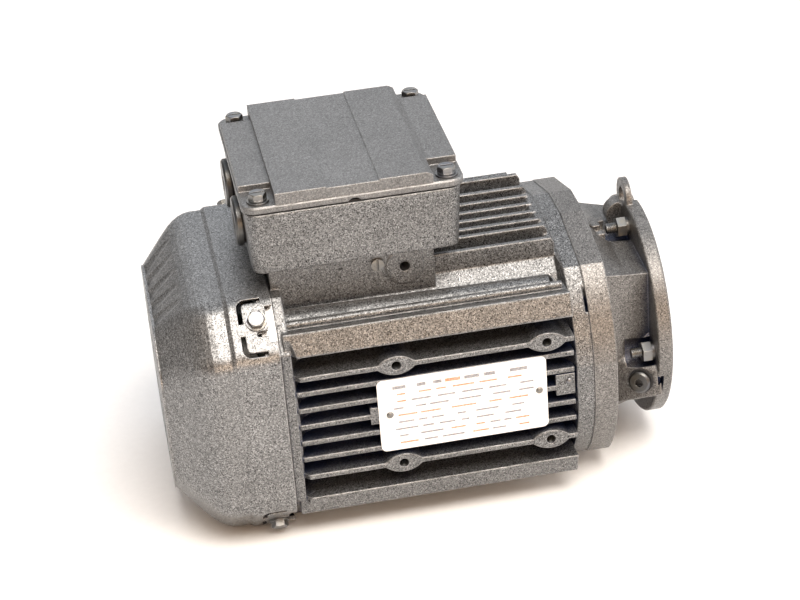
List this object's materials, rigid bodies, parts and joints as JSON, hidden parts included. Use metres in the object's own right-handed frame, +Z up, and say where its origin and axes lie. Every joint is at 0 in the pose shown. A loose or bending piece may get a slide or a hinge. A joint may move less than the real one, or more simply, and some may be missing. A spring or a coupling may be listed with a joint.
{
  "type": "electric motor",
  "caption": "Squirrel-cage electric motor with finned housing, terminal box, fan cowl and a small round flange for a plug-on pinion.",
  "frame": {"origin": "on the shaft axis, in the plane of the flange's mounting face", "axes": "+X out of the flange along the shaft, +Z up through the terminal box, rating plate on -Y"},
  "size_m": [0.274, 0.16, 0.1921],
  "materials": {
    "silver_paint": "metallic silver-grey paint, fine speckle",
    "silver_paint_front": "metallic silver-grey paint over casting",
    "lid_paint": "metallic silver-grey paint, smooth",
    "cowl_paint": "metallic silver-grey paint, fine speckle",
    "bare_casting": "as cast",
    "core_steel": "stacked sheets",
    "winding": "varnished enamelled wire",
    "shaft_steel": "turned and ground",
    "bearing_steel": "ground",
    "cage_steel": "pressed",
    "spring_steel": "phosphated",
    "zinc_steel": "bright zinc plate",
    "rubber": "moulded",
    "fan_plastic": "moulded",
    "board_plastic": "moulded",
    "brass": "turned",
    "plug_metal": "nickel plate, satin",
    "plate_white": "white lacquer"
  },
  "bodies": {
    "stator": {"stator_housing": "silver_paint", "flange_end_shield": "silver_paint_front", "rear_end_shield": "bare_casting", "stator_core": "core_steel", "stator_winding": "winding", "front_bearing_outer_ring": "bearing_steel", "rear_bearing_outer_ring": "bearing_steel", "front_seat_circlip": "spring_steel", "wave_washer": "spring_steel", "shaft_oil_seal": "rubber", "fan_cowl": "cowl_paint", "cowl_screws": "zinc_steel", "front_shield_screws": "zinc_steel", "rear_shield_screws": "zinc_steel", "flange_studs": "zinc_steel", "flange_spring_washers": "zinc_steel", "flange_nuts": "zinc_steel", "terminal_box": "silver_paint", "box_gasket": "rubber", "box_lid": "lid_paint", "lid_gasket": "rubber", "terminal_board": "board_plastic", "terminal_studs": "brass", "terminal_links": "brass", "terminal_nuts": "brass", "board_screws": "zinc_steel", "lid_screws": "zinc_steel", "lid_washers": "zinc_steel", "box_screws": "zinc_steel", "entry_plug_rings": "rubber", "entry_plugs": "plug_metal", "platform_screw": "zinc_steel", "drain_plug_ring": "rubber", "drain_plug": "plug_metal", "rating_plate": "plate_white", "plate_pins": "zinc_steel"},
    "rotor": {"motor_shaft": "shaft_steel", "rotor_core": "core_steel", "rotor_cage": "bare_casting", "front_bearing_inner_ring": "bearing_steel", "rear_bearing_inner_ring": "bearing_steel", "front_shaft_circlip": "spring_steel", "rear_seal_ring": "rubber", "fan": "fan_plastic", "fan_key": "shaft_steel", "fan_circlips": "spring_steel"},
    "front_ball_set": {"front_bearing_balls": "bearing_steel", "front_bearing_cage": "cage_steel"},
    "rear_ball_set": {"rear_bearing_balls": "bearing_steel", "rear_bearing_cage": "cage_steel"}
  },
  "joints": [
    {"name": "rotor_spin", "type": "hinge", "parent": "stator", "child": "rotor", "pos_m": [-0.133, 0, 0], "axis": [1, 0, 0], "continuous": true},
    {"name": "front_ball_orbit", "type": "hinge", "parent": "stator", "child": "front_ball_set", "pos_m": [-0.0225, 0, 0], "axis": [1, 0, 0], "continuous": true},
    {"name": "rear_ball_orbit", "type": "hinge", "parent": "stator", "child": "rear_ball_set", "pos_m": [-0.217, 0, 0], "axis": [1, 0, 0], "continuous": true}
  ],
  "couplings": [
    {"joint": "front_ball_orbit", "follows": "rotor_spin", "ratio": 0.3969},
    {"joint": "rear_ball_orbit", "follows": "rotor_spin", "ratio": 0.3815}
  ]
}
